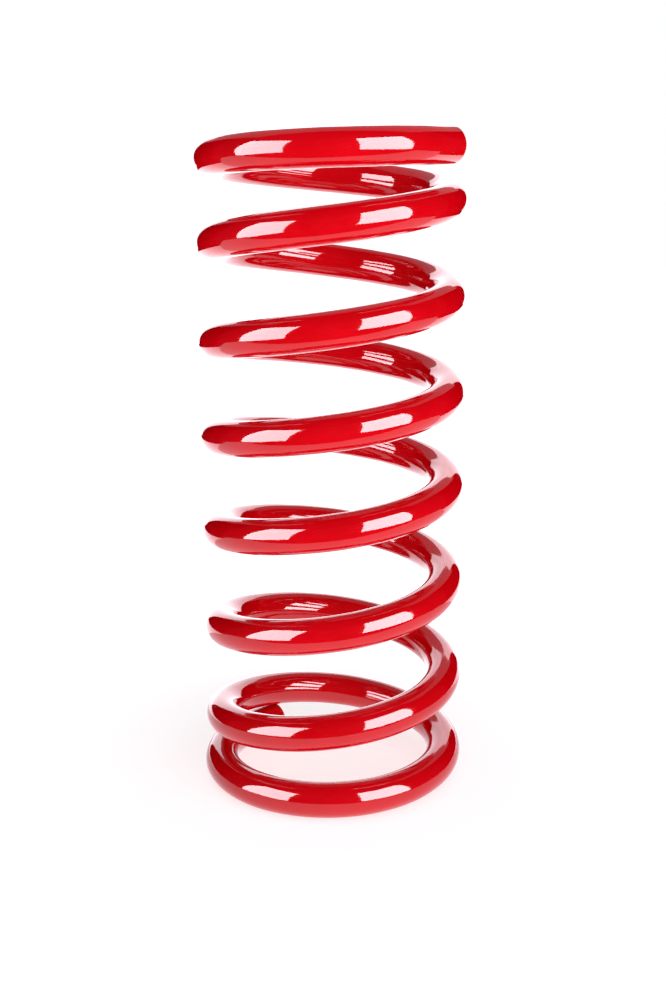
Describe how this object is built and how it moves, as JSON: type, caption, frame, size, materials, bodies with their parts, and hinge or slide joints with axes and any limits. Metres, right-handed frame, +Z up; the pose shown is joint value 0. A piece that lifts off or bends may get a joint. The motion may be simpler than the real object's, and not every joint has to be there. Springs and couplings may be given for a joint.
{
  "type": "suspension coil spring",
  "caption": "Car suspension coil spring: one round steel wire wound right-handed, closed lower end coil, flattened open upper end coil, both ends cut square, glossy red powder coat.",
  "frame": {"origin": "under the middle of the coil's box, on the plane that its lowest wire touches", "axes": "+Z up the coil from the closed lower end to the open upper end; the lower tip lies at the back on the -X side, and the upper tip at the front on the +X side"},
  "size_m": [0.106, 0.1056, 0.2607],
  "materials": {
    "red_coating": "gloss"
  },
  "bodies": {
    "lower_end_coil": {"lower_tip": "red_coating", "lower_end_coil_1": "red_coating", "lower_end_coil_2": "red_coating", "lower_end_coil_3": "red_coating"},
    "active_coil_01": {"active_coil_01": "red_coating"},
    "active_coil_02": {"active_coil_02": "red_coating"},
    "active_coil_03": {"active_coil_03": "red_coating"},
    "active_coil_04": {"active_coil_04": "red_coating"},
    "active_coil_05": {"active_coil_05": "red_coating"},
    "active_coil_06": {"active_coil_06": "red_coating"},
    "active_coil_07": {"active_coil_07": "red_coating"},
    "active_coil_08": {"active_coil_08": "red_coating"},
    "active_coil_09": {"active_coil_09": "red_coating"},
    "active_coil_10": {"active_coil_10": "red_coating"},
    "active_coil_11": {"active_coil_11": "red_coating"},
    "active_coil_12": {"active_coil_12": "red_coating"},
    "active_coil_13": {"active_coil_13": "red_coating"},
    "active_coil_14": {"active_coil_14": "red_coating"},
    "active_coil_15": {"active_coil_15": "red_coating"},
    "active_coil_16": {"active_coil_16": "red_coating"},
    "active_coil_17": {"active_coil_17": "red_coating"},
    "active_coil_18": {"active_coil_18": "red_coating"},
    "active_coil_19": {"active_coil_19": "red_coating"},
    "active_coil_20": {"active_coil_20": "red_coating"},
    "active_coil_21": {"active_coil_21": "red_coating"},
    "active_coil_22": {"active_coil_22": "red_coating"},
    "active_coil_23": {"active_coil_23": "red_coating"},
    "upper_end_coil": {"upper_end_coil_1": "red_coating", "upper_end_coil_2": "red_coating", "upper_end_coil_3": "red_coating", "upper_tip": "red_coating"}
  },
  "joints": [
    {"name": "wire_twist_01", "type": "hinge", "parent": "lower_end_coil", "child": "active_coil_01", "pos_m": [-0.01657, 0.04239, 0.02027], "axis": [0.9233, 0.3731, -0.0909], "range_deg": [0, 3.48], "stiffness_Nm_per_rad": 600},
    {"name": "wire_twist_02", "type": "hinge", "parent": "active_coil_01", "child": "active_coil_02", "pos_m": [-0.04167, -0.01671, 0.02883], "axis": [-0.373, 0.9228, -0.0968], "range_deg": [0, 3.48], "stiffness_Nm_per_rad": 600},
    {"name": "wire_twist_03", "type": "hinge", "parent": "active_coil_02", "child": "active_coil_03", "pos_m": [0.01736, -0.04173, 0.03802], "axis": [-0.9215, -0.374, -0.1048], "range_deg": [0, 6.95], "stiffness_Nm_per_rad": 300},
    {"name": "wire_twist_04", "type": "hinge", "parent": "active_coil_03", "child": "active_coil_04", "pos_m": [0.04222, 0.01728, 0.04774], "axis": [0.3763, -0.9201, -0.1084], "range_deg": [0, 6.95], "stiffness_Nm_per_rad": 300},
    {"name": "wire_twist_05", "type": "hinge", "parent": "active_coil_04", "child": "active_coil_05", "pos_m": [-0.01685, 0.04195, 0.05762], "axis": [0.919, 0.3791, -0.1083], "range_deg": [0, 6.95], "stiffness_Nm_per_rad": 300},
    {"name": "wire_twist_06", "type": "hinge", "parent": "active_coil_05", "child": "active_coil_06", "pos_m": [-0.04134, -0.01719, 0.0675], "axis": [-0.3819, 0.9178, -0.1084], "range_deg": [0, 6.95], "stiffness_Nm_per_rad": 300},
    {"name": "wire_twist_07", "type": "hinge", "parent": "active_coil_06", "child": "active_coil_07", "pos_m": [0.01787, -0.0415, 0.07742], "axis": [-0.9166, -0.3847, -0.1091], "range_deg": [0, 6.95], "stiffness_Nm_per_rad": 300},
    {"name": "wire_twist_08", "type": "hinge", "parent": "active_coil_07", "child": "active_coil_08", "pos_m": [0.04199, 0.01778, 0.08738], "axis": [0.3877, -0.9152, -0.1096], "range_deg": [0, 6.95], "stiffness_Nm_per_rad": 300},
    {"name": "wire_twist_09", "type": "hinge", "parent": "active_coil_08", "child": "active_coil_09", "pos_m": [-0.01737, 0.0417, 0.09737], "axis": [0.914, 0.3907, -0.1095], "range_deg": [0, 6.95], "stiffness_Nm_per_rad": 300},
    {"name": "wire_twist_10", "type": "hinge", "parent": "active_coil_09", "child": "active_coil_10", "pos_m": [-0.0411, -0.01775, 0.10727], "axis": [-0.3936, 0.913, -0.1076], "range_deg": [0, 6.95], "stiffness_Nm_per_rad": 300},
    {"name": "wire_twist_11", "type": "hinge", "parent": "active_coil_10", "child": "active_coil_11", "pos_m": [0.01846, -0.04132, 0.11689], "axis": [-0.9124, -0.396, -0.1035], "range_deg": [0, 6.95], "stiffness_Nm_per_rad": 300},
    {"name": "wire_twist_12", "type": "hinge", "parent": "active_coil_11", "child": "active_coil_12", "pos_m": [0.04192, 0.01832, 0.12629], "axis": [0.3978, -0.9117, -0.1026], "range_deg": [0, 6.95], "stiffness_Nm_per_rad": 300},
    {"name": "wire_twist_13", "type": "hinge", "parent": "active_coil_12", "child": "active_coil_13", "pos_m": [-0.01776, 0.04168, 0.13564], "axis": [0.911, 0.3994, -0.1024], "range_deg": [0, 6.95], "stiffness_Nm_per_rad": 300},
    {"name": "wire_twist_14", "type": "hinge", "parent": "active_coil_13", "child": "active_coil_14", "pos_m": [-0.04101, -0.01805, 0.14497], "axis": [-0.4011, 0.9103, -0.1022], "range_deg": [0, 6.95], "stiffness_Nm_per_rad": 300},
    {"name": "wire_twist_15", "type": "hinge", "parent": "active_coil_14", "child": "active_coil_15", "pos_m": [0.01875, -0.0412, 0.15431], "axis": [-0.9096, -0.4027, -0.1026], "range_deg": [0, 6.95], "stiffness_Nm_per_rad": 300},
    {"name": "wire_twist_16", "type": "hinge", "parent": "active_coil_15", "child": "active_coil_16", "pos_m": [0.04179, 0.0186, 0.16368], "axis": [0.4043, -0.9088, -0.103], "range_deg": [0, 6.95], "stiffness_Nm_per_rad": 300},
    {"name": "wire_twist_17", "type": "hinge", "parent": "active_coil_16", "child": "active_coil_17", "pos_m": [-0.01805, 0.04152, 0.17308], "axis": [0.908, 0.4061, -0.1029], "range_deg": [0, 6.95], "stiffness_Nm_per_rad": 300},
    {"name": "wire_twist_18", "type": "hinge", "parent": "active_coil_17", "child": "active_coil_18", "pos_m": [-0.04086, -0.01836, 0.18246], "axis": [-0.4078, 0.9073, -0.1028], "range_deg": [0, 6.95], "stiffness_Nm_per_rad": 300},
    {"name": "wire_twist_19", "type": "hinge", "parent": "active_coil_18", "child": "active_coil_19", "pos_m": [0.01906, -0.04106, 0.19186], "axis": [-0.9064, -0.4095, -0.1033], "range_deg": [0, 6.95], "stiffness_Nm_per_rad": 300},
    {"name": "wire_twist_20", "type": "hinge", "parent": "active_coil_19", "child": "active_coil_20", "pos_m": [0.04164, 0.01891, 0.20129], "axis": [0.4113, -0.9056, -0.1036], "range_deg": [0, 6.95], "stiffness_Nm_per_rad": 300},
    {"name": "wire_twist_21", "type": "hinge", "parent": "active_coil_20", "child": "active_coil_21", "pos_m": [-0.01837, 0.04136, 0.21073], "axis": [0.9048, 0.4131, -0.1034], "range_deg": [0, 6.95], "stiffness_Nm_per_rad": 300},
    {"name": "wire_twist_22", "type": "hinge", "parent": "active_coil_21", "child": "active_coil_22", "pos_m": [-0.04071, -0.01871, 0.22005], "axis": [-0.4148, 0.9043, -0.1009], "range_deg": [0, 6.95], "stiffness_Nm_per_rad": 300},
    {"name": "wire_twist_23", "type": "hinge", "parent": "active_coil_22", "child": "active_coil_23", "pos_m": [0.01945, -0.04099, 0.2289], "axis": [-0.9047, -0.4157, -0.0933], "range_deg": [0, 3.48], "stiffness_Nm_per_rad": 600},
    {"name": "wire_twist_24", "type": "hinge", "parent": "active_coil_23", "child": "upper_end_coil", "pos_m": [0.04177, 0.01925, 0.23714], "axis": [0.4154, -0.9054, -0.0875], "range_deg": [0, 3.48], "stiffness_Nm_per_rad": 600}
  ],
  "couplings": [
    {"joint": "wire_twist_02", "follows": "wire_twist_01", "ratio": 1},
    {"joint": "wire_twist_03", "follows": "wire_twist_01", "ratio": 2},
    {"joint": "wire_twist_04", "follows": "wire_twist_01", "ratio": 2},
    {"joint": "wire_twist_05", "follows": "wire_twist_01", "ratio": 2},
    {"joint": "wire_twist_06", "follows": "wire_twist_01", "ratio": 2},
    {"joint": "wire_twist_07", "follows": "wire_twist_01", "ratio": 2},
    {"joint": "wire_twist_08", "follows": "wire_twist_01", "ratio": 2},
    {"joint": "wire_twist_09", "follows": "wire_twist_01", "ratio": 2},
    {"joint": "wire_twist_10", "follows": "wire_twist_01", "ratio": 2},
    {"joint": "wire_twist_11", "follows": "wire_twist_01", "ratio": 2},
    {"joint": "wire_twist_12", "follows": "wire_twist_01", "ratio": 2},
    {"joint": "wire_twist_13", "follows": "wire_twist_01", "ratio": 2},
    {"joint": "wire_twist_14", "follows": "wire_twist_01", "ratio": 2},
    {"joint": "wire_twist_15", "follows": "wire_twist_01", "ratio": 2},
    {"joint": "wire_twist_16", "follows": "wire_twist_01", "ratio": 2},
    {"joint": "wire_twist_17", "follows": "wire_twist_01", "ratio": 2},
    {"joint": "wire_twist_18", "follows": "wire_twist_01", "ratio": 2},
    {"joint": "wire_twist_19", "follows": "wire_twist_01", "ratio": 2},
    {"joint": "wire_twist_20", "follows": "wire_twist_01", "ratio": 2},
    {"joint": "wire_twist_21", "follows": "wire_twist_01", "ratio": 2},
    {"joint": "wire_twist_22", "follows": "wire_twist_01", "ratio": 2},
    {"joint": "wire_twist_23", "follows": "wire_twist_01", "ratio": 1},
    {"joint": "wire_twist_24", "follows": "wire_twist_01", "ratio": 1}
  ]
}
